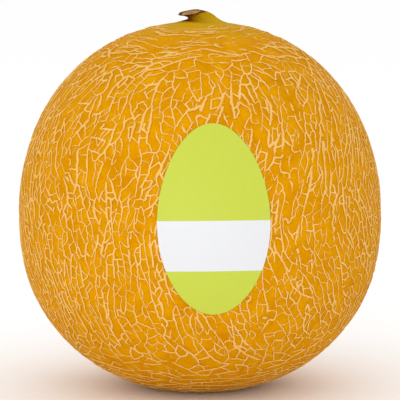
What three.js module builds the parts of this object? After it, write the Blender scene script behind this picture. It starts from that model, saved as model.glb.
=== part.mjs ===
// A galia melon standing on its flattened blossom end.
//
// Units are millimetres, +Z is up and the origin is the centre of the flat spot
// that the fruit rests on. The fruit is one solid, because it grew as one piece;
// the dried stub of its vine stem and a curved oval label are pieces of their own.

import * as THREE from 'three';

// ---- driving dimensions, in millimetres ---------------------------------------

const EQUATOR_RADIUS = 70;          // half of the 140 mm width
const REST_DEPTH = 66.5;            // from the widest level down to the flat spot
const LOWER_DEPTH = 67.9;           // the lower half's depth before the flat spot trims it
const UPPER_HEIGHT = 75.6;          // from the widest level up to the shoulder's crown
const LOWER_POWER = 2.16;           // superellipse powers: 2 is an ellipse, more is squarer
const UPPER_POWER = 2.13;

const STEM_GAP = 0.3;               // between the stub's foot and the skin
const STEM_HALF_DEPTH_FOOT = 8.8;   // front to back, at the foot and at the cut end
const STEM_HALF_DEPTH_END = 4.1;
const STEM_RINGS = 12;
const STEM_SIDES = 24;
const STEM_RIBS = 5;                // low lengthwise ribs, as on any melon stalk
const STEM_RIB_DEPTH = 0.04;        // as a share of the half depth
// The two flanks seen from the front, as (x, height over the crown), foot to cut end.
const STEM_LEFT_FLANK = [[-9.2, 0], [-6.8, 0.7], [-5.4, 1.3], [-5.7, 2.1], [-8.3, 3.3]];
const STEM_RIGHT_FLANK = [[9.2, 0], [7.6, 1.2], [5.9, 2.3], [3.8, 3.6], [0.9, 5.0]];

const LABEL_WIDTH = 42;             // measured along the curved skin
const LABEL_HEIGHT = 72;
const LABEL_RIGHT = 5.3;            // the label's centre stands right of the fruit's middle
const LABEL_RISE = 7;               // and above its widest level
const LABEL_THICKNESS = 0.25;
const LABEL_STANDOFF = 0.55;        // it lies on the crests of the netting
const LABEL_RINGS = 8;
const LABEL_SIDES = 56;

const FRUIT_SIDES = 72;
const FRUIT_RINGS_ABOVE = 20;
const FRUIT_RINGS_BELOW = 17;

// ---- the fruit's outline --------------------------------------------------------

/** Radius of the outline at the angle `fromTop` down from the crown, seen from the middle. */
function outlineRadius(fromTop) {
  const above = Math.cos(fromTop) >= 0;
  const depth = above ? UPPER_HEIGHT : LOWER_DEPTH;
  const power = above ? UPPER_POWER : LOWER_POWER;
  const across = Math.pow(Math.abs(Math.sin(fromTop)) / EQUATOR_RADIUS, power);
  const along = Math.pow(Math.abs(Math.cos(fromTop)) / depth, power);
  return Math.pow(across + along, -1 / power);
}

/** Point (r, z) of the outline at the angle `fromTop`, lifted by `lift` off the skin. */
function outlinePoint(fromTop, lift = 0) {
  const radius = outlineRadius(fromTop) + lift;
  return new THREE.Vector2(radius * Math.sin(fromTop), REST_DEPTH + radius * Math.cos(fromTop));
}

/** Angle from the crown at which the outline meets the flat spot, found by halving. */
function flatSpotAngle() {
  let low = Math.PI / 2;
  let high = Math.PI;
  for (let step = 0; step < 50; step += 1) {
    const middle = (low + high) / 2;
    if (outlinePoint(middle).y > 0) low = middle;
    else high = middle;
  }
  return low;
}

function melonGeometry() {
  const flatAngle = flatSpotAngle();
  const profile = [new THREE.Vector2(0, 0)];
  for (let ring = 0; ring <= FRUIT_RINGS_BELOW; ring += 1) {
    const share = ring / FRUIT_RINGS_BELOW;
    const point = outlinePoint(flatAngle + share * (Math.PI / 2 - flatAngle));
    profile.push(ring === 0 ? new THREE.Vector2(point.x, 0) : point);
  }
  for (let ring = 1; ring < FRUIT_RINGS_ABOVE; ring += 1) {
    profile.push(outlinePoint((Math.PI / 2) * (1 - ring / FRUIT_RINGS_ABOVE)));
  }
  profile.push(new THREE.Vector2(0, outlinePoint(0).y));
  const geometry = new THREE.LatheGeometry(profile, FRUIT_SIDES);
  geometry.rotateX(Math.PI / 2);
  return geometry;
}

// ---- closed solids lofted from rings ----------------------------------------------

/**
 * Closed solid from rings of equal length, with a centre point at each end.
 * Seen from the last ring's side the rings run anticlockwise.
 */
function loftedGeometry(rings, firstCentre, lastCentre) {
  const sides = rings[0].length;
  const points = [...rings.flat(), firstCentre, lastCentre];
  const firstIndex = rings.length * sides;
  const lastRing = (rings.length - 1) * sides;
  const faces = [];
  for (let side = 0; side < sides; side += 1) {
    const next = (side + 1) % sides;
    faces.push(firstIndex, next, side);
    faces.push(firstIndex + 1, lastRing + side, lastRing + next);
    for (let ring = 0; ring + 1 < rings.length; ring += 1) {
      const low = ring * sides;
      const high = low + sides;
      faces.push(low + side, low + next, high + next);
      faces.push(low + side, high + next, high + side);
    }
  }
  const geometry = new THREE.BufferGeometry();
  geometry.setAttribute(
    'position',
    new THREE.Float32BufferAttribute(points.flatMap((point) => point.toArray()), 3),
  );
  geometry.setIndex(faces);
  return geometry;
}

/** How far the crown has dropped at a distance `r` from the axis. */
function crownDrop(r) {
  const share = 1 - Math.pow(r / EQUATOR_RADIUS, UPPER_POWER);
  return UPPER_HEIGHT * (1 - Math.pow(share, 1 / UPPER_POWER));
}

/**
 * One ring of the stub: an ellipse whose long diameter runs from the left flank to the
 * right one. Low rings also follow the crown's curve, so the foot lies on the skin.
 */
function stemRing(t, left, right) {
  const centre = left.clone().add(right).divideScalar(2);
  const across = right.clone().sub(left).divideScalar(2);
  const settle = Math.pow(1 - t, 3);
  const halfDepth = STEM_HALF_DEPTH_END + (STEM_HALF_DEPTH_FOOT - STEM_HALF_DEPTH_END) * settle;
  const points = [];
  for (let side = 0; side < STEM_SIDES; side += 1) {
    const turn = (side / STEM_SIDES) * Math.PI * 2;
    const rib = 1 + STEM_RIB_DEPTH * Math.cos(STEM_RIBS * turn) * (1 - settle);
    const point = new THREE.Vector3(centre.x, 0, centre.y);
    point.x += across.x * Math.cos(turn);
    point.y += halfDepth * rib * Math.sin(turn);
    point.z += across.y * Math.cos(turn);
    point.z += REST_DEPTH + UPPER_HEIGHT + STEM_GAP - settle * crownDrop(Math.hypot(point.x, point.y));
    points.push(point);
  }
  return points;
}

/** The stub of the vine stem: a wide foot, an undercut left side and a slanting cut end. */
function stemGeometry() {
  const flank = (points) => new THREE.SplineCurve(points.map(([x, y]) => new THREE.Vector2(x, y)));
  const leftFlank = flank(STEM_LEFT_FLANK);
  const rightFlank = flank(STEM_RIGHT_FLANK);
  const rings = [];
  for (let ring = 0; ring <= STEM_RINGS; ring += 1) {
    const t = ring / STEM_RINGS;
    rings.push(stemRing(t, leftFlank.getPoint(t), rightFlank.getPoint(t)));
  }
  const middle = (ring) => {
    const sum = ring.reduce((total, point) => total.add(point), new THREE.Vector3());
    return sum.divideScalar(STEM_SIDES);
  };
  const foot = new THREE.Vector3(0, 0, REST_DEPTH + UPPER_HEIGHT + STEM_GAP);
  return loftedGeometry(rings, foot, middle(rings[STEM_RINGS]));
}

/** Point on the label over the skin, from its own flat (across, up) place and its lift. */
function labelPoint(across, up, lift) {
  const fromTop = Math.PI / 2 - (LABEL_RISE + up) / EQUATOR_RADIUS;
  const { x: r, y: z } = outlinePoint(fromTop, lift);
  const turn = (LABEL_RIGHT + across) / EQUATOR_RADIUS;
  return new THREE.Vector3(r * Math.sin(turn), -r * Math.cos(turn), z);
}

/** The label: an oval sheet that follows the skin, as rings out over its face and back. */
function labelGeometry() {
  const innerLift = LABEL_STANDOFF;
  const outerLift = LABEL_STANDOFF + LABEL_THICKNESS;
  const ovalRing = (share, lift) => {
    const points = [];
    for (let side = 0; side < LABEL_SIDES; side += 1) {
      const turn = (side / LABEL_SIDES) * Math.PI * 2;
      const across = (LABEL_WIDTH / 2) * share * Math.cos(turn);
      const up = (LABEL_HEIGHT / 2) * share * Math.sin(turn);
      points.push(labelPoint(across, up, lift));
    }
    return points;
  };
  const rings = [];
  for (let ring = 1; ring <= LABEL_RINGS; ring += 1) {
    rings.push(ovalRing(ring / LABEL_RINGS, innerLift));
  }
  for (let ring = LABEL_RINGS; ring >= 1; ring -= 1) {
    rings.push(ovalRing(ring / LABEL_RINGS, outerLift));
  }
  return loftedGeometry(rings, labelPoint(0, 0, innerLift), labelPoint(0, 0, outerLift));
}

// ---- the melon -----------------------------------------------------------------------

function part(name, geometry, finish) {
  const mesh = new THREE.Mesh(geometry, new THREE.MeshStandardMaterial(finish));
  mesh.name = name;
  return mesh;
}

const galiaMelon = new THREE.Group();
galiaMelon.name = 'galia_melon';
galiaMelon.add(
  part('melon', melonGeometry(), { color: '#d8920c', roughness: 0.5, metalness: 0 }),
  part('stem_stub', stemGeometry(), { color: '#b58a1e', roughness: 0.8, metalness: 0 }),
  part('label', labelGeometry(), { color: '#d2e353', roughness: 0.4, metalness: 0 }),
);

export default galiaMelon;
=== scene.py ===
"""A galia melon: netted rind, dried stem stub and a bare oval label, in its studio.

The CAD frame gives every size and place. The fruit's skin, its corky netting, the stub and the
label are surfaces worked out as whole arrays and dressed with procedural finishes.
"""

import logging
import math
from dataclasses import dataclass, fields
from enum import Enum

import bpy
import numpy as np
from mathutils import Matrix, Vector
from mathutils.geometry import delaunay_2d_cdt


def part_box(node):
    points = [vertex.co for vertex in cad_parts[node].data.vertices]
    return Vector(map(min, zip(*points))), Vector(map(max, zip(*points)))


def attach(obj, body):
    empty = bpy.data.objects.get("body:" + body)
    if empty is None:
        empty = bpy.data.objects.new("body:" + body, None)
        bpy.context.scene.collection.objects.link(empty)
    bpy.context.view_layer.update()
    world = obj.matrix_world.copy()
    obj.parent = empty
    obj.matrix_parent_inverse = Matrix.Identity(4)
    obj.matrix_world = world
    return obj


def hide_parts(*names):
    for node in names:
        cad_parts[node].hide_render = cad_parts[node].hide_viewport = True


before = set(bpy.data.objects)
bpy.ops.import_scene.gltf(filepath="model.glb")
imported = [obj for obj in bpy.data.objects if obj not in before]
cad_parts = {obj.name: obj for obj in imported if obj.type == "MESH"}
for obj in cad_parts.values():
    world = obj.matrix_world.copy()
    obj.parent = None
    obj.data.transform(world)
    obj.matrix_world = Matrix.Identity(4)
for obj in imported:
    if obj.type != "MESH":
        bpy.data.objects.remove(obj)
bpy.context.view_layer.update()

LOG = logging.getLogger("galia_melon")
MM = 0.001


class Slot(Enum):
    """The record's material slots."""

    RIND = "rind"
    STEM = "stem"
    LABEL = "label_film"


class Sector(Enum):
    """Sixths of the fruit, by the turn of their middles round the upright axis in degrees."""

    FRONT = -90
    FRONT_RIGHT = -30
    BACK_RIGHT = 30
    BACK = 90
    BACK_LEFT = 150
    FRONT_LEFT = 210


# ---- small tools ---------------------------------------------------------------------------


def unit(vectors: np.ndarray) -> np.ndarray:
    """Vectors scaled to length one, row by row."""
    return vectors / np.linalg.norm(vectors, axis=-1, keepdims=True)


def smooth_step(low: float, high: float, value: np.ndarray) -> np.ndarray:
    """Rise from 0 at low to 1 at high, level at both ends: t squared times (3 - 2t)."""
    t = np.clip((value - low) / (high - low), 0.0, 1.0)
    return t * t * (3.0 - 2.0 * t)


def direction(from_top: np.ndarray, turn: np.ndarray) -> np.ndarray:
    """Unit directions (sin a cos b, sin a sin b, cos a) at a from the crown and b round from +X."""
    sine = np.sin(from_top)
    return np.stack([sine * np.cos(turn), sine * np.sin(turn), np.cos(from_top)], axis=-1)


def linear(hex_colour: str) -> tuple[float, float, float, float]:
    """An sRGB hex colour as linear red, green, blue and an alpha of one."""
    channels = [int(hex_colour[i : i + 2], 16) / 255.0 for i in (1, 3, 5)]
    red, green, blue = (c / 12.92 if c <= 0.04045 else ((c + 0.055) / 1.055) ** 2.4 for c in channels)
    return red, green, blue, 1.0


def add_node(tree: bpy.types.NodeTree, kind: str, settings: dict | None = None,
             inputs: dict | None = None, stops: list | None = None) -> bpy.types.Node:
    """Add a node with its settings, input values or links, and ramp stops.

    Args:
        tree: The tree that gets the node.
        kind: The node's type name, without its leading ShaderNode.
        settings: Attribute values by name.
        inputs: Values, or sockets to link from, by input name or number. A node stands for its
            first output.
        stops: (position, hex colour) pairs for a colour ramp.

    Returns:
        The new node.
    """
    node = tree.nodes.new("ShaderNode" + kind)
    for name, value in (settings or {}).items():
        setattr(node, name, value)
    for name, value in (inputs or {}).items():
        if isinstance(value, bpy.types.Node):
            value = value.outputs[0]
        if isinstance(value, bpy.types.NodeSocket):
            tree.links.new(value, node.inputs[name])
        else:
            node.inputs[name].default_value = value
    if stops:
        elements = node.color_ramp.elements
        while len(elements) < len(stops):
            elements.new(1.0)
        for element, (position, colour) in zip(elements, stops):
            element.position = position
            element.color = linear(colour)
    return node


def new_material(name: str) -> tuple[bpy.types.Material, bpy.types.NodeTree]:
    """A new material under a name, and its node tree, emptied."""
    material = bpy.data.materials.new(name)
    material.use_nodes = True
    material.node_tree.nodes.clear()
    return material, material.node_tree


def make_piece(name: str, points: np.ndarray, faces: list) -> bpy.types.Object:
    """Put points and faces into a smooth shaded mesh object at the origin.

    Args:
        name: The piece's name.
        points: Corner places in metres, one row each.
        faces: A list of corner numbers for each face.

    Returns:
        The new object, linked to the scene.
    """
    mesh = bpy.data.meshes.new(name)
    mesh.from_pydata(points.tolist(), [], faces)
    mesh.polygons.foreach_set("use_smooth", np.ones(len(mesh.polygons), dtype=bool))
    mesh.update()
    piece = bpy.data.objects.new(name, mesh)
    bpy.context.scene.collection.objects.link(piece)
    return piece


def set_attribute(piece: bpy.types.Object, name: str, values: np.ndarray) -> None:
    """Store one number for each of the piece's points under a name."""
    attribute = piece.data.attributes.new(name, "FLOAT", "POINT")
    attribute.data.foreach_set("value", values.astype(np.float32))


def grid_faces(rows: int, columns: int) -> np.ndarray:
    """Faces of a grid of points that closes on itself along each row.

    Args:
        rows: Number of rows of points.
        columns: Number of points in a row.

    Returns:
        Point numbers of each four-cornered face.
    """
    row, column = np.meshgrid(np.arange(rows - 1), np.arange(columns), indexing="ij")
    here, there = row * columns + column, row * columns + (column + 1) % columns
    return np.stack([here, there, there + columns, here + columns], axis=-1).reshape(-1, 4)


def closed_loft(rings: np.ndarray) -> tuple[np.ndarray, list]:
    """Points and faces of a closed skin through rings, with a point in the middle of each end.

    Args:
        rings: Points by ring, by side and by axis.

    Returns:
        Points, one row each, and faces.
    """
    count, sides, _ = rings.shape
    points = np.vstack([rings.reshape(-1, 3), rings[0].mean(axis=0), rings[-1].mean(axis=0)])
    side = np.arange(sides)
    after = (side + 1) % sides
    first, last = np.full(sides, count * sides), np.full(sides, count * sides + 1)
    top = (count - 1) * sides
    low_end = np.stack([after, side, first], axis=1)
    high_end = np.stack([top + side, top + after, last], axis=1)
    return points, grid_faces(count, sides).tolist() + low_end.tolist() + high_end.tolist()


def smooth_curve(points: tuple, share: np.ndarray) -> np.ndarray:
    """Smooth curve through points, by Catmull and Rom's cubic.

    Between two points p1 and p2 with outer neighbours p0 and p3, at a share t, the place is
    half of 2 p1 + (p2 - p0) t + (2 p0 - 5 p1 + 4 p2 - p3) t^2 + (3 p1 - p0 - 3 p2 + p3) t^3.

    Args:
        points: Places that the curve goes through.
        share: Shares of the way, from 0 to 1.

    Returns:
        One row for each share.
    """
    knots = np.array(points)
    knots = np.vstack([2 * knots[0] - knots[1], knots, 2 * knots[-1] - knots[-2]])
    spot = np.clip(share, 0.0, 1.0) * (len(points) - 1)
    first = np.minimum(spot.astype(int), len(points) - 2)
    t = (spot - first)[:, None]
    p0, p1, p2, p3 = (knots[first + i] for i in range(4))
    bend = (2 * p0 - 5 * p1 + 4 * p2 - p3) * t**2
    return 0.5 * (2 * p1 + (p2 - p0) * t + bend + (3 * p1 - p0 - 3 * p2 + p3) * t**3)


class CubeMap:
    """Charts of the sphere on a cube's six faces, each ruled in equal angles.

    A direction belongs to the axis that it leans to most. Its two places on that face are
    atan(other / leading) times 4 / pi, so they run from -1 to 1.
    """

    margin: float = 0.965

    @staticmethod
    def grid(cells: int) -> tuple[np.ndarray, np.ndarray, np.ndarray]:
        """A closed sphere of directions, cells by cells faces on each side of the cube.

        Args:
            cells: Number of faces along each side of a chart.

        Returns:
            Unit directions, the faces' point numbers and the chart number of each face.
        """
        ruler = np.tan(np.linspace(-1.0, 1.0, cells + 1) * math.pi / 4)
        across, up = np.meshgrid(ruler, ruler)
        step, base = cells + 1, np.arange(cells)[:, None] * (cells + 1) + np.arange(cells)
        quads = np.stack([base, base + 1, base + step + 1, base + step], axis=-1).reshape(-1, 4)
        sheets, faces = [], []
        for chart in range(6):
            axis, sign = chart // 2, 1 - 2 * (chart % 2)
            sheet = np.empty((step * step, 3))
            sheet[:, axis] = sign
            sheet[:, (axis + 1) % 3] = across.ravel()
            sheet[:, (axis + 2) % 3] = up.ravel()
            sheets.append(unit(sheet))
            faces.append((quads if sign > 0 else quads[:, ::-1]) + chart * step * step)
        every = np.concatenate(sheets)
        _, first, number = np.unique(np.round(every, 7), axis=0, return_index=True, return_inverse=True)
        chart_of = np.repeat(np.arange(6), cells * cells)
        return every[first], number.ravel()[np.concatenate(faces)], chart_of

    @staticmethod
    def chart(directions: np.ndarray) -> np.ndarray:
        """Chart number, from 0 to 5, that each direction belongs to."""
        axis = np.abs(directions).argmax(axis=1)
        return axis * 2 + (directions[np.arange(len(directions)), axis] < 0)

    @classmethod
    def place(cls, directions: np.ndarray, chart: np.ndarray, hidden: np.ndarray) -> np.ndarray:
        """Places on the flat map: six charts, three to a row, over a row of six small ones.

        Args:
            directions: Unit directions, one row each.
            chart: Chart number of each.
            hidden: Whether each belongs to a hidden side, which goes to the small charts.

        Returns:
            Places from 0 to 1, one row each.
        """
        axis, rows = chart // 2, np.arange(len(directions))
        depth = np.abs(directions[rows, axis])
        others = np.stack([directions[rows, (axis + 1) % 3], directions[rows, (axis + 2) % 3]], axis=1)
        spot = 0.5 + 0.5 * cls.margin * np.arctan2(others, depth[:, None]) * 4.0 / math.pi
        large = np.stack([(chart % 3 + spot[:, 0]) / 3, 0.2 + 0.4 * (chart // 3 + spot[:, 1])], axis=1)
        small = np.stack([(chart + spot[:, 0]) / 6, 0.2 * spot[:, 1]], axis=1)
        return np.where(hidden[:, None], small, large)


def lay_out(piece: bpy.types.Object, flat: np.ndarray) -> None:
    """Store the places on the flat map for baking, one row for each face corner."""
    layer = piece.data.uv_layers.new(name="OFBake")
    layer.data.foreach_set("uv", flat.astype(np.float32).ravel())


class SubAssembly:
    """A sub-assembly of the fruit, which builds its meshes, dresses them and hands them over.

    It stands for the CAD node called node, and slot is the record's slot of its finish.
    """

    node: str
    slot: Slot

    def build(self) -> list[bpy.types.Object]:
        """Build the meshes; each sub-assembly has its own way."""
        raise NotImplementedError

    def dress(self, finish: bpy.types.Material) -> list[bpy.types.Object]:
        """Build the meshes, put the finish on them and let them stand for the CAD node.

        Args:
            finish: The material that they all wear.

        Returns:
            The dressed objects.
        """
        pieces = self.build()
        for piece in pieces:
            piece.data.materials.append(finish)
            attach(piece, "root")
            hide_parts(self.node)
        return pieces


# ---- the fruit's shape ---------------------------------------------------------------------


@dataclass(frozen=True)
class Outline:
    """The fruit's outline: an upper and a lower half of a superellipse, flat at the bottom.

    low and high are the CAD fruit's box. The widest level is at widest_share of its height, and
    the lower half would be lower_fullness times as deep if it weren't cut flat. net_room is how
    far the skin stands over the floor, so that the netting under it just reaches down to it.
    """

    low: tuple[float, float, float]
    high: tuple[float, float, float]
    widest_share: float = 0.468
    lower_fullness: float = 1.021
    upper_power: float = 2.13
    lower_power: float = 2.16
    flat_softness: float = 0.2 * MM
    unevenness: float = 0.0016
    net_room: float = 0.40 * MM

    @property
    def equator(self) -> float:
        """Radius at the widest level."""
        return (self.high[0] - self.low[0]) / 2

    @property
    def rest_depth(self) -> float:
        """Height of the widest level over the floor."""
        return self.widest_share * (self.high[2] - self.low[2])

    @property
    def upper_height(self) -> float:
        """Height of the crown over the widest level."""
        return self.high[2] - self.low[2] - self.rest_depth

    def radius(self, directions: np.ndarray) -> np.ndarray:
        """Distance from the fruit's middle to its skin along unit directions.

        The formula is ((s / a)^p + (c / b)^p)^(-1 / p), with s and c the direction's level and
        upright shares, a the equator's radius, and b and p the depth and power of the half. It
        is made uneven by a few slow sine waves of the direction.

        Args:
            directions: Unit directions, one row each.

        Returns:
            Distances in metres.
        """
        level = np.hypot(directions[:, 0], directions[:, 1])
        upright = directions[:, 2]
        depth = np.where(upright > 0, self.upper_height, self.rest_depth * self.lower_fullness)
        power = np.where(upright > 0, self.upper_power, self.lower_power)
        total = (level / self.equator) ** power + (np.abs(upright) / depth) ** power
        x, y, z = directions.T
        wave = np.sin(9 * x + 4 * z + 1.0) + np.sin(8 * y - 7 * x + 2.0) + np.sin(11 * z + 5 * y)
        return total ** (-1.0 / power) * (1.0 + self.unevenness * wave / 1.5 * level)

    def surface(self, directions: np.ndarray, lift: np.ndarray | float = 0.0) -> np.ndarray:
        """Points of the skin along unit directions, lifted outwards.

        Heights h over the flat spot become (h + sqrt(h^2 + 4 e^2)) / 2, which lays the bottom
        flat with a soft edge, just high enough for the netting to reach the floor. The lift goes
        along the direction, and straight down on the flat spot.

        Args:
            directions: Unit directions, one row each.
            lift: Distance off the skin in metres, one for all or one for each.

        Returns:
            Points in metres, one row each.
        """
        points = directions * self.radius(directions)[:, None]
        height = points[:, 2] + self.rest_depth - self.net_room
        soft = 4.0 * self.flat_softness**2
        points[:, 2] = self.low[2] + self.net_room + (height + np.sqrt(height**2 + soft)) / 2
        flat = 1.0 - smooth_step(-0.5 * MM, 1.0 * MM, height)[:, None]
        outward = unit(directions * (1.0 - flat) + np.array([0.0, 0.0, -1.0]) * flat)
        return points + outward * np.broadcast_to(lift, len(points))[:, None]


@dataclass
class Strands:
    """Corky strands, each a smooth curve over the skin, with a row for each strand.

    start and end are unit directions, start_way and end_way the ways it runs there, and
    start_half and end_half its half widths. It is grown from the share first to the share last
    of its curve, and comes to a point where start_points or end_points say so.
    """

    start: np.ndarray
    end: np.ndarray
    start_way: np.ndarray
    end_way: np.ndarray
    start_half: np.ndarray
    end_half: np.ndarray
    first: np.ndarray
    last: np.ndarray
    start_points: np.ndarray
    end_points: np.ndarray
    phase: np.ndarray

    def joined(self, *others: "Strands") -> "Strands":
        """These strands and the other sets in one set."""
        sets, names = (self, *others), [field.name for field in fields(self)]
        return Strands(**{name: np.concatenate([getattr(s, name) for s in sets]) for name in names})

    def chosen(self, which: np.ndarray) -> "Strands":
        """The strands that a mask picks out."""
        return Strands(**{f.name: getattr(self, f.name)[which] for f in fields(self)})

    def middle(self) -> np.ndarray:
        """Unit directions half way along the strands."""
        return unit(self.start + self.end)


@dataclass
class Sweep:
    """A low rounded profile carried along strands, as one closed body for each strand.

    across, rise and crest give the profile's six points, as shares of the half width, the height
    and the crest value. swell and web are the shares by which a strand thickens in slow swells and
    at a junction. groove_depth and groove_fade are what a wide strand's crest loses.
    """

    outline: Outline
    radius: float
    spacing: float = 0.70 * MM
    across: tuple = (-1.0, -0.66, 0.0, 0.66, 1.0, 0.0)
    rise: tuple = (0.0, 0.72, 1.0, 0.72, 0.0, 0.0)
    crest: tuple = (0.0, 0.60, 1.0, 0.60, 0.0, 0.0)
    foot_depth: float = 0.05 * MM
    root_depth: float = 0.30 * MM
    lowest: float = 0.05 * MM
    highest: float = 0.37 * MM
    slope: float = 0.56
    taper_length: float = 2.4 * MM
    tip_share: float = 0.04
    wander: float = 0.20 * MM
    long_wave: float = 4.3 * MM
    short_wave: float = 2.1 * MM
    swell: float = 0.24
    swell_length: float = 3.1 * MM
    groove_from: float = 0.60 * MM
    groove_blend: float = 0.12 * MM
    groove_depth: float = 0.20
    groove_fade: float = 0.12
    web: float = 0.26
    web_length: float = 0.9 * MM

    def stations(self, strands: Strands) -> tuple[np.ndarray, ...]:
        """Evenly spaced stations along all strands at once.

        A strand's line is Hermite's cubic between its ends, laid on the sphere, and moved
        sideways by a small wave that vanishes at its ends. Its half width goes smoothly from one
        end's to the other's, with slow swells, and shrinks as a root towards a pointed end.

        Args:
            strands: The strands.

        Returns:
            Directions of the stations, directions sideways, half widths, how far the strand has
            tapered there, from 0 to 1, and the numbers of the stations' strands.
        """
        chord = np.linalg.norm(strands.end - strands.start, axis=1)
        length = chord * (strands.last - strands.first) * self.radius
        count = np.maximum(3, np.ceil(length / self.spacing).astype(int) + 1)
        strand = np.repeat(np.arange(len(count)), count)
        step = np.arange(count.sum()) - np.repeat(np.cumsum(count) - count, count)
        share = step / (count[strand] - 1)
        along, rest = share * length[strand], (1 - share) * length[strand]

        t = (strands.first[strand] + share * (strands.last - strands.first)[strand])[:, None]
        start, end = strands.start[strand], strands.end[strand]
        way_0 = strands.start_way[strand] * chord[strand][:, None]
        way_1 = strands.end_way[strand] * chord[strand][:, None]
        line = start * (2 * t**3 - 3 * t**2 + 1) + way_0 * (t**3 - 2 * t**2 + t)
        line = unit(line + end * (3 * t**2 - 2 * t**3) + way_1 * (t**3 - t**2))
        course = (start - end) * (6 * t**2 - 6 * t) + way_0 * (3 * t**2 - 4 * t + 1)
        course += way_1 * (3 * t**2 - 2 * t)
        side = unit(np.cross(line, course))
        phase = strands.phase[strand]
        wave = np.sin(2 * math.pi * (along / self.long_wave + phase))
        wave += 0.4 * np.sin(2 * math.pi * (along / self.short_wave + 2 * phase))
        wave *= np.sin(math.pi * t[:, 0])
        line = unit(line + side * (self.wander / self.radius * wave)[:, None])

        ends = ((strands.start_points[strand], along), (strands.end_points[strand], rest))
        taper = np.ones(len(along))
        for pointed, away in ends:
            taper = np.where(pointed, np.minimum(taper, away / self.taper_length), taper)
        taper = self.tip_share + (1 - self.tip_share) * taper**0.7
        blend = smooth_step(0.0, 1.0, share)
        half = strands.start_half[strand] * (1 - blend) + strands.end_half[strand] * blend
        girth = np.sin(2 * math.pi * (along / self.swell_length + 3 * phase))
        girth = 1.0 + self.swell * np.sin(math.pi * share) * girth
        for pointed, away in ends:
            girth += self.web * np.exp(-away / self.web_length) * ~pointed
        return line, side, half * girth * taper, taper, strand

    def bodies(self, strands: Strands) -> tuple[np.ndarray, list, np.ndarray, np.ndarray]:
        """Carry the profile along the strands.

        Across a strand the profile has its two feet just under the skin, its shoulders and its
        crest over it, and one root point underneath. The crest stands as high as the foot width
        allows: a least height plus a share of the half width. Wide strands have a shallow groove
        along their crest.

        Args:
            strands: The strands.

        Returns:
            Points, faces, the crest value of each point, from 0 at a foot to 1, and the map
            places of the face corners.
        """
        line, side, half, taper, strand = self.stations(strands)
        across, rise = np.array(self.across), np.array(self.rise)
        apart = (across * half[:, None] / self.radius)[..., None]
        aim = unit(line[:, None, :] + side[:, None, :] * apart)
        height = np.minimum(self.lowest + self.slope * half, self.highest) * taper
        wide = smooth_step(self.groove_from, self.groove_from + self.groove_blend, half)
        top = rise * height[:, None]
        top[:, 2] *= 1.0 - self.groove_depth * wide
        top[:, [0, 4]] = -self.foot_depth
        top[:, 5] = -self.root_depth
        crest = np.array(self.crest) * np.ones((len(line), 1))
        crest[:, 2] *= 1.0 - self.groove_fade * wide
        sides = len(across)
        flat_aim = aim.reshape(-1, 3)
        points = self.outline.surface(flat_aim, top.ravel())

        here = np.nonzero(strand[1:] == strand[:-1])[0]
        ring = np.arange(sides)
        base = here[:, None] * sides
        after = (ring + 1) % sides
        quads = [base + ring, base + sides + ring, base + sides + after, base + after]
        quads = np.stack(quads, axis=-1).reshape(-1, 4)
        edge_first = np.nonzero(np.diff(strand, prepend=-1))[0]
        edge_last = np.append(edge_first[1:], len(strand)) - 1
        first_cap, last_cap = edge_first[:, None] * sides + ring, edge_last[:, None] * sides + ring
        caps = np.vstack([first_cap, last_cap[:, ::-1]])

        hidden = np.tile(ring >= 4, len(here))
        middle = unit(flat_aim[quads].mean(axis=1))
        chart = CubeMap.chart(middle)
        flat = CubeMap.place(flat_aim[quads].reshape(-1, 3), np.repeat(chart, 4), np.repeat(hidden, 4))
        cap_chart = CubeMap.chart(flat_aim[caps[:, 0]])
        cap_flat = CubeMap.place(
            flat_aim[caps].reshape(-1, 3), np.repeat(cap_chart, sides), np.ones(caps.size, dtype=bool))
        return points, quads.tolist() + caps.tolist(), crest.ravel(), np.vstack([flat, cap_flat])


@dataclass(frozen=True)
class CrackKind:
    """A kind of crack that belongs to no cell.

    place is the range of the angle down from the crown, or of that angle's cosine, or the one angle
    of a ring scar. heading is the mean and the spread of the course's angle from level. length and
    half, the half width, are ranges in metres.
    """

    count: int
    place: tuple
    heading: tuple
    length: tuple
    half: tuple


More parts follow.
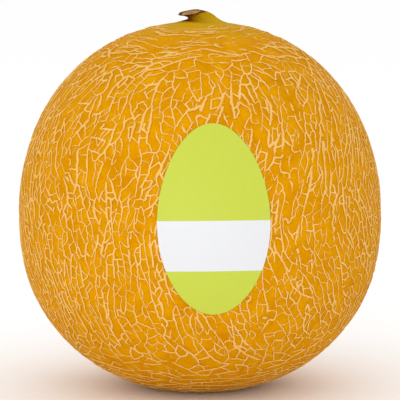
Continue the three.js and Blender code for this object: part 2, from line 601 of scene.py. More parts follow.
@dataclass
class Netting(SubAssembly):
    """The fruit's corky netting, as strands along the borders of irregular cells.

    Cells are taller than wide round the middle and lie crossways near both ends. The borders
    that run on almost straight through a junction form long lines. Some borders never crack,
    most of them near the stem, and others die out on the way. crown_turn and bottom_turn are the
    angles from each end between which the cells turn, and bare_crown those over which the netting
    sets in.
    """

    node = "melon"
    slot = Slot.RIND

    outline: Outline
    cell_area: float = 12.2 * MM * MM
    long_aspect: float = 1.62
    cross_aspect: float = 0.55
    crown_growth: float = 0.3
    bottom_growth: float = 1.1
    crown_turn: tuple = (0.46, 0.84)
    bottom_turn: tuple = (0.66, 1.08)
    evening_rounds: int = 3
    jitter: float = 0.46
    thin: float = 0.27 * MM
    thick: float = 0.80 * MM
    side_share: float = 0.70
    bottom_widening: float = 0.20
    missing: float = 0.045
    dying: float = 0.13
    bare_crown: tuple = (0.24, 0.62)
    stem_clearance: float = 0.17
    longest: float = 16 * MM
    ring_cracks: CrackKind = CrackKind(
        140, (0.22, 0.56), (0.0, 0.14), (3 * MM, 14 * MM), (0.20 * MM, 0.48 * MM))
    dashes: CrackKind = CrackKind(
        760, (-0.85, 0.80), (math.pi / 2, 0.65), (1.4 * MM, 4.2 * MM), (0.13 * MM, 0.28 * MM))
    scars: CrackKind = CrackKind(
        16, (-0.9, 0.5), (0.4, 0.4), (3 * MM, 6 * MM), (0.7 * MM, 1.2 * MM))
    blossom_ring: CrackKind = CrackKind(
        9, (math.pi - 0.095,), (0.0, 0.15), (4 * MM, 7 * MM), (0.4 * MM, 0.8 * MM))
    seed: int = 11
    pole_gap: float = math.radians(8.0)

    def __post_init__(self) -> None:
        """Set the draw of random numbers and the mean radius that turns lengths into angles."""
        self.random = np.random.default_rng(self.seed)
        self.radius = (self.outline.equator + self.outline.upper_height) / 2

    def _ruling(self) -> tuple[np.ndarray, np.ndarray]:
        """The flat chart on which cells are as tall as wide, by angle down from the crown.

        A cell with height over width A comes out square where the chart's radius r follows
        d(ln r) / d(angle) = 1 / (A sin(angle)), summed up here by trapezoids.

        Returns:
            Angles down from the crown, and the logarithm of the chart's radius at each.
        """
        from_top = np.linspace(self.pole_gap / 2, math.pi - self.pole_gap / 2, 4000)
        near_end = self._near_end(from_top)
        aspect = self.long_aspect * (1 - near_end) + self.cross_aspect * near_end
        slope = 1.0 / (aspect * np.sin(from_top))
        steps = (slope[1:] + slope[:-1]) / 2 * np.diff(from_top)
        return from_top, np.concatenate([[0.0], np.cumsum(steps)])

    def _near_end(self, from_top: np.ndarray) -> np.ndarray:
        """Share by which cells lie crossways: 1 near the crown and the bottom, 0 between."""
        below_crown = smooth_step(*self.crown_turn, from_top)
        return 1.0 - below_crown * smooth_step(*self.bottom_turn, math.pi - from_top)

    def _cell_centres(self) -> tuple[np.ndarray, np.ndarray]:
        """Cell centres in jittered rows.

        Returns:
            Angles down from the crown and angles round the axis, one for each cell.
        """
        angles, turns = [], []
        from_top = self.pole_gap
        while from_top < math.pi - self.pole_gap:
            near_end = self._near_end(np.array([from_top]))[0]
            aspect = self.long_aspect + (self.cross_aspect - self.long_aspect) * near_end
            growth = self.crown_growth if from_top < math.pi / 2 else self.bottom_growth
            area = self.cell_area * (1.0 + growth * near_end)
            up, across = math.sqrt(area * aspect) / self.radius, math.sqrt(area / aspect)
            count = max(5, round(2 * math.pi * math.sin(from_top) * self.radius / across))
            places = (np.arange(count) + self.random.random()) / count
            places += self.random.uniform(-self.jitter, self.jitter, count) / count
            turns.append(places * 2 * math.pi)
            angles.append(from_top + up * self.random.uniform(-self.jitter, self.jitter, count))
            from_top += up
        limit = self.pole_gap * 0.6
        return np.clip(np.concatenate(angles), limit, math.pi - limit), np.concatenate(turns)

    def _borders(self) -> tuple[np.ndarray, np.ndarray]:
        """Junctions and borders of the cells, from the Delaunay triangles of their centres.

        The triangles are found on the flat chart, and a junction is the middle (x, y) of a
        triangle's circle there. With p and q the triangle's sides from one corner and d twice
        their cross product, it lies at (q_y p^2 - p_y q^2, p_x q^2 - q_x p^2) / d from it.
        Back on the fruit the junctions are swept to the side in slow waves.

        Returns:
            Unit directions of the junctions, and the pair of junctions of each border.
        """
        ruler, log_reach = self._ruling()
        from_top, turn = self._cell_centres()
        reach = np.exp(np.interp(from_top, ruler, log_reach) - log_reach[-1] / 2)
        flat = np.stack([reach * np.cos(turn), reach * np.sin(turn)], axis=1)
        corners = [Vector(pair) for pair in flat.tolist()]
        _, _, faces, originals, _, _ = delaunay_2d_cdt(corners, [], [], 0, 1e-9)
        triangles = np.array([[originals[corner][0] for corner in face] for face in faces])
        a, b, c = (flat[triangles[:, i]] for i in range(3))
        p, q = b - a, c - a
        p_square, q_square = (p**2).sum(axis=1), (q**2).sum(axis=1)
        double = 2 * (p[:, 0] * q[:, 1] - p[:, 1] * q[:, 0])
        middle = a + np.stack([q[:, 1] * p_square - p[:, 1] * q_square,
                               p[:, 0] * q_square - q[:, 0] * p_square], axis=1) / double[:, None]
        middle_log = np.log(np.hypot(middle[:, 0], middle[:, 1])) + log_reach[-1] / 2
        from_top = np.interp(middle_log, log_reach, ruler)
        turn = np.arctan2(middle[:, 1], middle[:, 0])
        turn = turn + 0.09 * np.sin(3.0 * from_top + 0.6) + 0.06 * np.sin(2 * turn + 4 * from_top)
        ripple = 0.014 * np.sin(7 * turn - 9 * from_top)
        turn = turn + ripple + 0.007 * np.sin(15 * turn + 14 * from_top)
        from_top = from_top + 0.035 * np.sin(3 * turn + 2 * from_top + 1.0)
        from_top = from_top + 0.010 * np.sin(11 * turn + 8 * from_top)

        edges = np.sort(triangles[:, [0, 1, 1, 2, 2, 0]].reshape(-1, 2), axis=1)
        owner = np.repeat(np.arange(len(triangles)), 3)
        order = np.lexsort((edges[:, 1], edges[:, 0]))
        edges, owner = edges[order], owner[order]
        shared = np.nonzero((edges[1:] == edges[:-1]).all(axis=1))[0]
        return direction(from_top, turn), np.stack([owner[shared], owner[shared + 1]], axis=1)

    def _cracked(self, middles: np.ndarray, pairs: np.ndarray) -> np.ndarray:
        """Choose which borders crack at all: fewer near the crown, and fewer across the grain.

        Args:
            middles: Unit directions of the junctions.
            pairs: The junctions of each border.

        Returns:
            True for each border that cracks.
        """
        start, end = middles[pairs[:, 0]], middles[pairs[:, 1]]
        middle, course = unit(start + end), unit(end - start)
        from_top = np.arccos(middle[:, 2])
        turn = np.arctan2(middle[:, 1], middle[:, 0])
        level = np.stack([-np.sin(turn), np.cos(turn), np.zeros(len(turn))], axis=1)
        near_end = self._near_end(from_top)
        crossways = np.abs((course * level).sum(axis=1))
        with_grain = crossways * near_end + (1 - crossways) * (1 - near_end)
        bare = 1.0 - smooth_step(*self.bare_crown, from_top)
        patchy = np.sin(5.0 * turn + 3.0 * np.sin(4.0 * from_top)) * np.sin(6.0 * from_top)
        gone = self.missing + 0.9 * bare + 0.20 * (0.5 - with_grain) - 0.07 * patchy
        length = np.linalg.norm(end - start, axis=1) * self.radius
        kept = (length < self.longest) & (from_top > self.stem_clearance)
        return (self.random.random(len(pairs)) > gone) & kept

    @staticmethod
    def _through(places: np.ndarray, here: np.ndarray, there: np.ndarray) -> tuple[np.ndarray, ...]:
        """The two borders that run on straightest through each junction.

        Args:
            places: Unit directions of the junctions.
            here: Junction at each border end.
            there: Junction at the border's other end.

        Returns:
            The junctions with at least two borders, and the two border ends of each.
        """
        order = np.argsort(here, kind="stable")
        count = np.bincount(here, minlength=len(places))
        position = np.arange(len(here)) - np.repeat(np.cumsum(count) - count, count)
        table = np.full((len(places), 3), -1)
        table[here[order], position] = order
        ways = unit(places[there] - places[here])[table]
        others = np.roll(table, -1, axis=1)
        fold = (ways * np.roll(ways, -1, axis=1)).sum(axis=2)
        fold[(table < 0) | (others < 0)] = 9.0
        joints = np.nonzero(fold.min(axis=1) < 9.0)[0]
        best = fold[joints].argmin(axis=1)
        return joints, table[joints, best], others[joints, best]

    def _cell_strands(self) -> Strands:
        """Strands along the cells' borders, drawn out into long lines.

        Each junction is moved part of the way towards the middle between its two straightest
        neighbours, a few times over, and the line through it takes their common course. Widths
        are drawn at random for the junctions and evened out along the lines.

        Returns:
            The strands.
        """
        places, pairs = self._borders()
        pairs = pairs[self._cracked(places, pairs)]
        here, there = pairs.T.ravel(), pairs[:, ::-1].T.ravel()
        joints, one, two = self._through(places, here, there)
        for _ in range(self.evening_rounds):
            goal = (places[there[one]] + places[there[two]]) / 2
            places[joints] = unit(places[joints] * 0.6 + goal * 0.4)

        vigour = self.random.random(len(places))
        for _ in range(4):
            near = (vigour[there[one]] + vigour[there[two]]) / 2
            vigour[joints] = 0.4 * vigour[joints] + 0.6 * near
        vigour = np.clip(0.46 + 2.6 * (vigour - 0.5), 0.0, 1.0) ** 1.5
        vigour *= 0.6 + 0.4 * smooth_step(-0.6, 0.2, places[:, 2])

        ways = unit(places[there] - places[here])
        course = unit(ways[one] - ways[two])
        ways[one], ways[two] = course, -course
        straight = np.zeros(len(here), dtype=bool)
        straight[one] = straight[two] = True
        half = self.thin + (self.thick - self.thin) * vigour[here]
        half *= np.where(straight, 1.0, self.side_share)
        half *= 1.0 + self.bottom_widening * smooth_step(0.2, 0.75, -places[here, 2])
        alone = np.bincount(here, minlength=len(places))[here] == 1

        total = len(pairs)
        fate = self.random.random(total)
        reach = self.random.uniform(0.45, 0.9, total)
        dies_last = (fate < self.dying) & ~alone[:total]
        dies_first = (fate > 1.0 - 0.5 * self.dying) & ~alone[total:]
        return Strands(
            start=places[pairs[:, 0]], end=places[pairs[:, 1]],
            start_way=ways[:total], end_way=-ways[total:],
            start_half=half[:total], end_half=half[total:],
            first=np.where(dies_first, 1 - reach, 0.0), last=np.where(dies_last, reach, 1.0),
            start_points=alone[:total] | dies_first, end_points=alone[total:] | dies_last,
            phase=self.random.random(total),
        )

    def _free_cracks(self, kind: CrackKind, from_top: np.ndarray, turn: np.ndarray,
                     heading: np.ndarray) -> Strands:
        """Short cracks that belong to no cell, pointed at both ends.

        Args:
            kind: What they are like; it gives their lengths and widths.
            from_top: Angle of each middle down from the crown, in radians.
            turn: Angle of each middle round the axis, in radians.
            heading: Angle of each course from level, in radians.

        Returns:
            The strands.
        """
        total = kind.count
        reach = self.random.uniform(*kind.length, total) / (2 * self.radius)
        half = self.random.uniform(*kind.half, total)
        fall, run = reach * np.sin(heading), reach * np.cos(heading) / np.sin(from_top)
        start, end = direction(from_top - fall, turn - run), direction(from_top + fall, turn + run)
        middle = direction(from_top, turn)
        bend = self.random.normal(0.0, 0.12, (total, 1)) * unit(np.cross(middle, end - start))
        both = np.ones(total, dtype=bool)
        return Strands(
            start=start, end=end,
            start_way=unit(middle - start) + bend, end_way=unit(end - middle) - bend,
            start_half=half, end_half=half,
            first=np.zeros(total), last=np.ones(total), start_points=both, end_points=both,
            phase=self.random.random(total),
        )

    def grow(self) -> Strands:
        """Grow the whole netting: cell borders, ring cracks, dashes, scars and the blossom's ring.

        Returns:
            All the strands.
        """
        draw, whole_turn = self.random, 2 * math.pi
        kind = self.ring_cracks
        rings = self._free_cracks(
            kind, draw.uniform(*kind.place, kind.count), draw.uniform(0, whole_turn, kind.count),
            draw.normal(*kind.heading, kind.count))
        kind = self.dashes
        upright = draw.normal(*kind.heading, kind.count)
        dashes = self._free_cracks(
            kind, np.arccos(draw.uniform(*kind.place, kind.count)),
            draw.uniform(0, whole_turn, kind.count), upright)
        kind = self.scars
        scars = self._free_cracks(
            kind, np.arccos(draw.uniform(*kind.place, kind.count)),
            draw.uniform(0, whole_turn, kind.count), draw.normal(*kind.heading, kind.count))
        kind = self.blossom_ring
        blossom = self._free_cracks(
            kind, np.full(kind.count, kind.place[0]), np.arange(kind.count) * 2 * math.pi / kind.count,
            draw.normal(*kind.heading, kind.count))
        return self._cell_strands().joined(rings, dashes, scars, blossom)

    def build(self) -> list[bpy.types.Object]:
        """Build the netting in six sectors, each the closed bodies of its strands.

        Returns:
            The sectors' objects, each with a crest attribute and a map for baking.
        """
        strands = self.grow()
        middle = strands.middle()
        turn = np.arctan2(middle[:, 1], middle[:, 0])
        pieces = []
        for sector in Sector:
            apart = np.abs((turn - math.radians(sector.value) + math.pi) % (2 * math.pi) - math.pi)
            own = strands.chosen(apart <= math.pi / len(Sector))
            points, faces, crest, flat = Sweep(self.outline, self.radius).bodies(own)
            piece = make_piece(f"cork_net_{sector.name.lower()}", points, faces)
            set_attribute(piece, "crest", crest)
            lay_out(piece, flat)
            piece.data.set_sharp_from_angle(angle=math.radians(58))
            pieces.append(piece)
        return pieces


@dataclass
class Skin(SubAssembly):
    """The fruit's smooth skin under its netting, as one closed surface."""

    node = "melon"
    slot = Slot.RIND

    outline: Outline
    cells: int = 96

    def build(self) -> list[bpy.types.Object]:
        """Build the skin: the outline's surface along a grid of directions on a cube.

        Returns:
            The skin's object, with a map for baking.
        """
        directions, faces, chart = CubeMap.grid(self.cells)
        piece = make_piece("melon_skin", self.outline.surface(directions), faces.tolist())
        corner_chart = np.repeat(chart, 4)
        hidden = np.zeros(faces.size, dtype=bool)
        lay_out(piece, CubeMap.place(directions[faces].reshape(-1, 3), corner_chart, hidden))
        return [piece]


@dataclass
class StemStub(SubAssembly):
    """The dried stub of the vine stem: a wide foot, an undercut left side and a cut end.

    left_flank and right_flank are places across and over the crown, in millimetres, from the
    foot to the cut.
    """

    node = "stem_stub"
    slot = Slot.STEM

    outline: Outline
    left_flank: tuple = (
        (-12.5, -0.45), (-9.0, 0.0), (-6.2, 0.55), (-4.8, 1.1), (-4.9, 1.75), (-6.3, 2.35), (-8.5, 2.8))
    right_flank: tuple = (
        (13.0, -0.45), (10.0, 0.0), (7.9, 0.65), (6.2, 1.6), (4.7, 2.75), (2.8, 3.7), (0.6, 4.25))
    near_drop: float = 0.65 * MM
    half_depth_foot: float = 13.5 * MM
    half_depth_end: float = 4.1 * MM
    ribs: int = 5
    rib_depth: float = 0.28 * MM
    fibres: int = 37
    fibre_depth: float = 0.07 * MM
    recess: float = 0.45 * MM
    rings: int = 56
    cut_rings: int = 22
    sides: int = 168

    def build(self) -> list[bpy.types.Object]:
        """Build the stub from ellipses whose long diameter runs from flank to flank.

        With t the share of the way up and b the turn round the stub, a point lies at the ellipse's
        middle plus its long half times cos b and its depth times sin b, pushed out by ribs
        cos(5 b) and fibres cos(37 b + wander). Past the rim the rings close in on a hollow cut.

        Returns:
            The stub's object, with a place attribute: 0 at the foot, 1 at the rim, 2 at the pith.
        """
        up = np.linspace(0.0, 1.0, self.rings)
        inward = np.linspace(0.0, 1.0, self.cut_rings + 1)[1:-1]
        share = np.concatenate([up, np.ones(len(inward))])
        shrink = np.concatenate([np.ones(len(up)), 1.0 - inward])
        left = smooth_curve(self.left_flank, share) * MM
        right = smooth_curve(self.right_flank, share) * MM
        middle, half = (left + right) / 2, (right - left) / 2
        settle = (1.0 - share) ** 3
        depth = self.half_depth_end + (self.half_depth_foot - self.half_depth_end) * settle

        turn = np.arange(self.sides) * 2 * math.pi / self.sides
        wander = 0.8 * np.sin(3 * turn)[None, :] + 1.5 * share[:, None]
        rib = self.rib_depth * np.cos(self.ribs * turn + 0.7)[None, :] * (1 - settle)[:, None]
        fibre = self.fibre_depth * np.cos(self.fibres * turn[None, :] + wander)
        fibre = fibre * (0.3 + 0.7 * share)[:, None]
        push = (1.0 + (rib + fibre) / depth[:, None]) * shrink[:, None]
        rim = smooth_step(0.0, 0.22, 1.0 - shrink) * self.recess
        rough = 0.08 * MM * np.sin(23 * turn)[None, :] * np.sin(9.0 * shrink)[:, None]
        hollow = rim[:, None] + rough * (shrink < 1.0)[:, None]
        points = np.empty((len(share), self.sides, 3))
        points[..., 0] = middle[:, :1] + half[:, :1] * np.cos(turn) * push
        points[..., 1] = depth[:, None] * np.sin(turn) * push
        points[..., 2] = middle[:, 1:] + half[:, 1:] * np.cos(turn) * push - hollow
        points[..., 2] += self.near_drop * share[:, None] ** 2 * np.sin(turn) * shrink[:, None]
        reach = np.hypot(points[..., 0], points[..., 1]) / self.outline.equator
        fall = self.outline.upper_height * (1 - (1 - reach**self.outline.upper_power)
                                            ** (1 / self.outline.upper_power))
        points[..., 2] += self.outline.high[2] - settle[:, None] * fall

        corners, faces = closed_loft(points)
        piece = make_piece("stem_stub_dried", corners, faces)
        place = np.repeat(np.concatenate([up, 1.0 + inward]), self.sides)
        set_attribute(piece, "place", np.concatenate([place, [0.0, 2.0]]))
        piece.data.set_sharp_from_angle(angle=math.radians(50))
        return [piece]


@dataclass
class Label(SubAssembly):
    """A bare oval film label, its inner face just over the highest crests of the netting."""

    node = "label"
    slot = Slot.LABEL

    outline: Outline
    width: float = 42 * MM
    height: float = 70.8 * MM
    right: float = 5.3 * MM
    rise: float = 7.0 * MM
    standoff: float = 0.56 * MM
    thickness: float = 0.14 * MM
    unevenness: float = 0.03 * MM
    rings: int = 60
    sides: int = 240

    def build(self) -> list[bpy.types.Object]:
        """Build the label as a thin closed sheet, out over its face and back under it.

        A point at a share s of the radius and a turn b lies across by s w cos b and up by
        s h sin b, with both lengths wrapped round the fruit as angles, lifted off the skin.

        Returns:
            The label's object, with its height in millimetres from the middle as an attribute.
        """
        out = np.linspace(0.0, 1.0, self.rings + 1)[1:]
        share = np.concatenate([out, out[::-1]])
        lift = np.repeat([self.standoff, self.standoff - self.thickness], self.rings)
        turn = -np.arange(self.sides) * 2 * math.pi / self.sides
        across = self.right + self.width / 2 * share[:, None] * np.cos(turn)
        up = self.height / 2 * share[:, None] * np.sin(turn)
        equator = self.outline.equator
        from_top = math.pi / 2 - (self.rise + up) / equator
        aim = direction(from_top, across / equator - math.pi / 2).reshape(-1, 3)
        raised = self.unevenness * np.sin(60.0 * aim[:, 2]) * np.sin(75.0 * aim[:, 0] + 9.0 * aim[:, 2])
        points = self.outline.surface(aim, np.repeat(lift, self.sides) + raised)
        corners, faces = closed_loft(points.reshape(len(share), self.sides, 3)[::-1])
        piece = make_piece("oval_label", corners, faces)
        rise, turned = self.rise / equator, self.right / equator - math.pi / 2
        upward = direction(np.array(rise + 0.0), np.array(turned)) * np.array([-1.0, -1.0, 1.0])
        level = np.arcsin(aim @ upward).reshape(len(share), self.sides)[::-1] * equator / MM
        set_attribute(piece, "level", np.concatenate([level.ravel(), [0.0, 0.0]]))
        piece.data.set_sharp_from_angle(angle=math.radians(50))
        return [piece]


# ---- finishes --------------------------------------------------------------------------------


@dataclass(frozen=True)
class Finish:
    """A finish: its shader's roughness and specular level, and its relief's depth and strength."""

    roughness: float
    specular: float
    relief: float
    strength: float

    def build(self) -> bpy.types.Material:
        """Make the material; each finish has its own nodes."""
        raise NotImplementedError

    def close(self, tree: bpy.types.NodeTree, colour: bpy.types.NodeSocket | bpy.types.Node,
              height: bpy.types.Node) -> None:
        """Add the nodes that every finish ends with: relief, shader and output.

        Args:
            tree: The material's tree.
            colour: What gives the base colour.
            height: What gives the relief.
        """
        bump = add_node(tree, "Bump", inputs={
            "Height": height, "Distance": self.relief, "Strength": self.strength})
        shader = add_node(tree, "BsdfPrincipled", inputs={
            "Base Color": colour, "Roughness": self.roughness, "Specular IOR Level": self.specular,
            "Normal": bump})
        add_node(tree, "OutputMaterial", inputs={"Surface": shader})


@dataclass(frozen=True)
class SkinFinish(Finish):
    """Ripe melon skin, grown: thin, waxy and orange, olive yellow round the stalk.

    The wax is thin and wearing away, so the eye sees a full, even colour with hardly any gloss. It
    drifts as the rind ripened, over about 7 mm, and the pores make it speckled at 0.8 mm.
    """

    roughness: float = 0.5
    specular: float = 0.006
    relief: float = 0.14 * MM
    strength: float = 0.6
    drift: float = 7 * MM
    pores: float = 0.8 * MM
    # The wave node repeats every 2 pi / 20 of its unit, so this unit puts a crease every 2.2 mm.
    crease_unit: float = 7 * MM
    olive_from: float = 133.5 * MM
    olive_full: float = 142.0 * MM

    def build(self) -> bpy.types.Material:
        """Make the material with its nodes, and return it."""
        material, tree = new_material("grown_waxy_melon_skin")
        place = add_node(tree, "TexCoord").outputs["Object"]
        split = add_node(tree, "SeparateXYZ", inputs={"Vector": place})
        blotch = add_node(tree, "TexNoise", inputs={
            "Vector": place, "Scale": 1 / self.drift, "Detail": 5.0, "Roughness": 0.6})
        speck = add_node(tree, "TexNoise", inputs={
            "Vector": place, "Scale": 1 / self.pores, "Detail": 3.0})
        both = add_node(tree, "Math", {"operation": "MULTIPLY_ADD"}, {0: speck, 1: 0.55, 2: blotch})
        skin = add_node(tree, "ValToRGB", inputs={"Fac": both}, stops=[
            (0.54, "#C57E00"), (0.72, "#CE8A00"), (0.84, "#D49000"), (1.0, "#DB9A00")])
        # High up, round the stalk, the skin stays olive and shrinks into faint creases; painted shade
        # deepens the colour in the creases.
        crown = add_node(tree, "MapRange", inputs={
            "Value": split.outputs["Z"], "From Min": self.olive_from, "From Max": self.olive_full})
        uneven = add_node(tree, "Math", {"operation": "MULTIPLY_ADD"}, {
            0: blotch, 1: 0.5, 2: crown})
        olive = add_node(tree, "MapRange", inputs={
            "Value": uneven, "From Min": 0.55, "From Max": 1.2})
        colour = add_node(tree, "Mix", {"data_type": "RGBA"}, {
            0: olive, 6: skin, 7: linear("#C49600")})
        wrinkle = add_node(tree, "TexWave", {
            "wave_type": "RINGS", "rings_direction": "Z", "wave_profile": "SIN"}, {
            "Vector": place, "Scale": 1 / self.crease_unit, "Distortion": 16.0,
            "Detail": 3.0, "Detail Scale": 0.6})
        creased = add_node(tree, "Math", {"operation": "MULTIPLY"}, {
            0: wrinkle.outputs["Fac"], 1: olive})
        # Painted shade in the creases: their colour is pulled towards a deep olive brown.
        painted_crease_shade = add_node(tree, "Math", {"operation": "MULTIPLY"}, {0: creased, 1: 0.16})
        crown_skin = add_node(tree, "Mix", {"data_type": "RGBA"}, {
            0: painted_crease_shade, 6: colour.outputs[2], 7: linear("#A87A00")})
        relief = add_node(tree, "Math", {"operation": "MULTIPLY_ADD"}, {
            0: creased, 1: -0.3, 2: both})
        self.close(tree, crown_skin.outputs[2], relief)
        return material


@dataclass(frozen=True)
class CorkFinish(Finish):
    """Melon netting, grown as cork that healed over cracks in the skin.

    Cork is dry and full of air, so the eye sees it matt, pale on its crests and finely grained, at
    0.45 mm. Its flanks are painted brown down to their feet, as painted shade beside the ridges.
    Its tone goes up and down in patches of about 6 mm.
    """

    roughness: float = 0.8
    specular: float = 0.01
    relief: float = 0.10 * MM
    strength: float = 0.6
    grain: float = 0.45 * MM
    patch: float = 6 * MM

    def build(self) -> bpy.types.Material:
        """Make the material with its nodes, and return it."""
        material, tree = new_material("grown_melon_cork")
        place = add_node(tree, "TexCoord").outputs["Object"]
        crest = add_node(tree, "Attribute", {"attribute_name": "crest"})
        grain = add_node(tree, "TexNoise", inputs={
            "Vector": place, "Scale": 1 / self.grain, "Detail": 3.0})
        patch = add_node(tree, "TexNoise", inputs={
            "Vector": place, "Scale": 1 / self.patch, "Detail": 2.0})
        # The crest value paints the netting pale on its crests and brown at its feet; the brown is
        # painted shade beside the ridges, and the grain is the cork's own.
        grain_and_painted_foot_shade = add_node(tree, "Math", {"operation": "MULTIPLY_ADD"}, {
            0: grain, 1: 0.4, 2: crest.outputs["Fac"]})
        level = add_node(tree, "Math", {"operation": "MULTIPLY_ADD"}, {0: patch, 1: 0.35, 2: grain_and_painted_foot_shade})
        colour = add_node(tree, "MapRange", inputs={
            "Value": level, "From Min": 0.2, "From Max": 1.45})
        ramp = add_node(tree, "ValToRGB", inputs={"Fac": colour}, stops=[
            (0.16, "#925200"), (0.36, "#B47406"), (0.50, "#D09834"), (0.72, "#E0AC54"),
            (0.95, "#EFC382")])
        self.close(tree, ramp, grain)
        return material


@dataclass(frozen=True)
class StalkFinish(Finish):
    """Melon stalk, grown and then dried after it was cut.

    Drying shrinks its fibres, so the eye sees a matt, mottled surface, at 1.3 mm. It is olive where
    it joins the fruit and straw coloured on the cut with a dark rim. Towards its left side and in the
    hollow under the cut it is painted deep brown: painted shade over the stalk's own brown there.
    Rust brown flecks are 0.9 mm across.
    """

    roughness: float = 0.75
    specular: float = 0.03
    relief: float = 0.25 * MM
    strength: float = 0.6
    mottle: float = 1.3 * MM
    fleck: float = 0.9 * MM

    def build(self) -> bpy.types.Material:
        """Make the material with its nodes, and return it."""
        material, tree = new_material("dried_melon_stalk")
        coordinates = add_node(tree, "TexCoord").outputs["Object"]
        split = add_node(tree, "SeparateXYZ", inputs={"Vector": coordinates})
        place = add_node(tree, "Attribute", {"attribute_name": "place"})
        mottle = add_node(tree, "TexNoise", inputs={
            "Vector": coordinates, "Scale": 1 / self.mottle, "Detail": 5.0})
        # Painted shade: the stalk runs from deep brown at its left side and undercut to olive at its
        # right, as if lit from the right; the foot stays olive.
        slope = add_node(tree, "MapRange", inputs={
            "Value": split.outputs["X"], "From Min": -5.5 * MM, "From Max": 10 * MM})
        foot = add_node(tree, "MapRange", inputs={
            "Value": place.outputs["Fac"], "From Min": 0.14, "From Max": 0.32, "To Min": 0.9,
            "To Max": 0.0})
        painted_side_light_and_foot = add_node(tree, "Math", {"operation": "MAXIMUM"}, {0: slope, 1: foot})
        shaded = add_node(tree, "Math", {"operation": "MULTIPLY_ADD"}, {
            0: mottle, 1: 0.20, 2: painted_side_light_and_foot})
        flank = add_node(tree, "ValToRGB", inputs={"Fac": shaded}, stops=[
            (0.10, "#55260A"), (0.24, "#6E4006"), (0.34, "#8E6604"), (0.50, "#A57C02"),
            (0.72, "#B68F02"), (0.98, "#C49600")])
        deep = add_node(tree, "Math", {"operation": "MULTIPLY_ADD"}, {
            0: mottle, 1: 0.5, 2: place.outputs["Fac"]})
        half = add_node(tree, "Math", {"operation": "MULTIPLY"}, {0: deep, 1: 0.4})
        cut = add_node(tree, "ValToRGB", inputs={"Fac": half}, stops=[
            (0.48, "#4A1E04"), (0.53, "#7A4A1C"), (0.58, "#A87C40"), (0.68, "#B99A62"),
            (0.80, "#8E6028"), (0.95, "#C8AC78")])
        past_rim = add_node(tree, "MapRange", inputs={
            "Value": deep, "From Min": 1.10, "From Max": 1.18})
        body = add_node(tree, "Mix", {"data_type": "RGBA"}, {0: past_rim, 6: flank, 7: cut})
        fleck = add_node(tree, "TexNoise", inputs={
            "Vector": coordinates, "Scale": 1 / self.fleck, "Detail": 1.0})
        spot = add_node(tree, "MapRange", inputs={
            "Value": fleck, "From Min": 0.66, "From Max": 0.74, "To Max": 0.7})
        colour = add_node(tree, "Mix", {"data_type": "RGBA"}, {
            0: spot, 6: body.outputs[2], 7: linear("#7C3208")})
        self.close(tree, colour.outputs[2], mottle)
        return material


@dataclass(frozen=True)
class LabelFinish(Finish):
    """Polypropylene film, printed in one colour and coated.

    The eye sees an even lime ground and a bare white panel with a faint satin sheen. The ink's
    cover varies at 0.6 mm, drawn coarser than real print so that it shows, and the film ripples
    at 3.5 mm where it lies on the net. The panel's edges are heights in mm from the middle.
    """

    roughness: float = 0.42
    specular: float = 0.15
    relief: float = 0.12 * MM
    strength: float = 0.5
    ground: str = "#BCC83E"
    panel: str = "#DADBDE"
    panel_low: float = -18.4
    panel_high: float = 0.1
    ink_grain: float = 0.6 * MM
    ripple: float = 3.5 * MM

    def build(self) -> bpy.types.Material:
        """Make the material with its nodes, and return it."""
        material, tree = new_material("printed_polypropylene_film")
        level = add_node(tree, "Attribute", {"attribute_name": "level"})
        low = add_node(tree, "Math", {"operation": "GREATER_THAN"}, {
            0: level.outputs["Fac"], 1: self.panel_low})
        high = add_node(tree, "Math", {"operation": "LESS_THAN"}, {
            0: level.outputs["Fac"], 1: self.panel_high})
        inside = add_node(tree, "Math", {"operation": "MULTIPLY"}, {0: low, 1: high})
        place = add_node(tree, "TexCoord").outputs["Object"]
        ink = add_node(tree, "TexNoise", inputs={
            "Vector": place, "Scale": 1 / self.ink_grain, "Detail": 2.0})
        coverage = add_node(tree, "MapRange", inputs={
            "Value": ink, "From Min": 0.3, "From Max": 0.7, "To Max": 0.04})
        ground = add_node(tree, "Mix", {"data_type": "RGBA"}, {
            0: coverage, 6: linear(self.ground), 7: linear(self.panel)})
        colour = add_node(tree, "Mix", {"data_type": "RGBA"}, {
            0: inside, 6: ground.outputs[2], 7: linear(self.panel)})
        ripple = add_node(tree, "TexNoise", inputs={
            "Vector": place, "Scale": 1 / self.ripple, "Detail": 1.0})
        self.close(tree, colour.outputs[2], ripple)
        return material


# ---- the studio ------------------------------------------------------------------------------


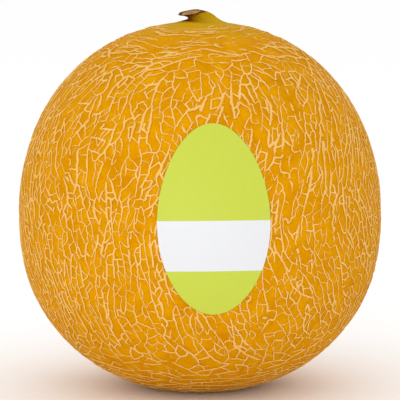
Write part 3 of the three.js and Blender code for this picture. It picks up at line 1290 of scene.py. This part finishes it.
@dataclass
class Studio:
    """A pale floor, soft light from all round, and a nearly level camera with a long lens.

    softboxes holds each lamp's name, its place in metres, its diameter and its power in watts.
    """

    middle: Vector
    distance: float = 1.1
    elevation: float = math.radians(7.0)
    lens: float = 254.8
    aim_rise: float = 6.2 * MM
    floor_size: float = 14.0
    softboxes: tuple = (
        ("overhead_softbox", (-0.25, -0.7, 0.95), 0.9, 0.35),
        ("rear_softbox", (0.30, 0.75, 0.95), 0.9, 0.45),
        ("low_fill", (-0.15, -0.8, 0.03), 0.6, 2.5),
    )

    def build(self) -> None:
        """Make the floor, the lights and the camera."""
        scene = bpy.context.scene
        scene.view_settings.view_transform = "Standard"
        self._floor()
        self._lights()
        camera = bpy.data.cameras.new("camera")
        camera.lens = self.lens
        camera.clip_end = 20.0
        holder = bpy.data.objects.new("camera", camera)
        scene.collection.objects.link(holder)
        aim = self.middle + Vector((0, 0, self.aim_rise))
        away = Vector((0, -math.cos(self.elevation), math.sin(self.elevation)))
        holder.location = aim + away * self.distance
        holder.rotation_euler = (-away).to_track_quat("-Z", "Y").to_euler()
        scene.camera = holder

    def _floor(self) -> None:
        """Lay a flat pale board, wide enough to fill the view, as one face."""
        half = self.floor_size / 2
        corners = np.array([[-half, -half, 0], [half, -half, 0], [half, half, 0], [-half, half, 0]])
        floor = make_piece("studio_floor", corners, [[0, 1, 2, 3]])
        material = bpy.data.materials.new("matt_painted_board")
        material.use_nodes = True
        shader = material.node_tree.nodes["Principled BSDF"]
        shader.inputs["Base Color"].default_value = linear("#FEFEFE")
        shader.inputs["Roughness"].default_value = 0.9
        floor.data.materials.append(material)

    def _lights(self) -> None:
        """Set a white room all round, and round soft lamps that face the fruit."""
        world = bpy.data.worlds.new("soft_white_room")
        world.use_nodes = True
        background = world.node_tree.nodes["Background"]
        background.inputs["Color"].default_value = (1.0, 1.0, 1.0, 1.0)
        background.inputs["Strength"].default_value = 1.0
        bpy.context.scene.world = world
        for name, place, size, power in self.softboxes:
            lamp = bpy.data.lights.new(name, "AREA")
            lamp.shape = "DISK"
            lamp.size = size
            lamp.energy = power
            holder = bpy.data.objects.new(name, lamp)
            holder.location = place
            holder.rotation_euler = (self.middle - holder.location).to_track_quat("-Z", "Y").to_euler()
            bpy.context.scene.collection.objects.link(holder)


def main() -> None:
    """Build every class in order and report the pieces."""
    logging.basicConfig(level=logging.INFO, format="%(message)s")
    low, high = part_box("melon")
    outline = Outline(tuple(low), tuple(high))
    Studio(Vector((0, 0, outline.rest_depth))).build()
    dressing = (
        (Skin(outline), SkinFinish()), (Netting(outline), CorkFinish()),
        (StemStub(outline), StalkFinish()), (Label(outline), LabelFinish()),
    )
    for part, finish in dressing:
        for piece in part.dress(finish.build()):
            mesh = piece.data
            LOG.info("%s: %d points, %d faces", piece.name, len(mesh.vertices), len(mesh.polygons))


if __name__ == "__main__":
    main()
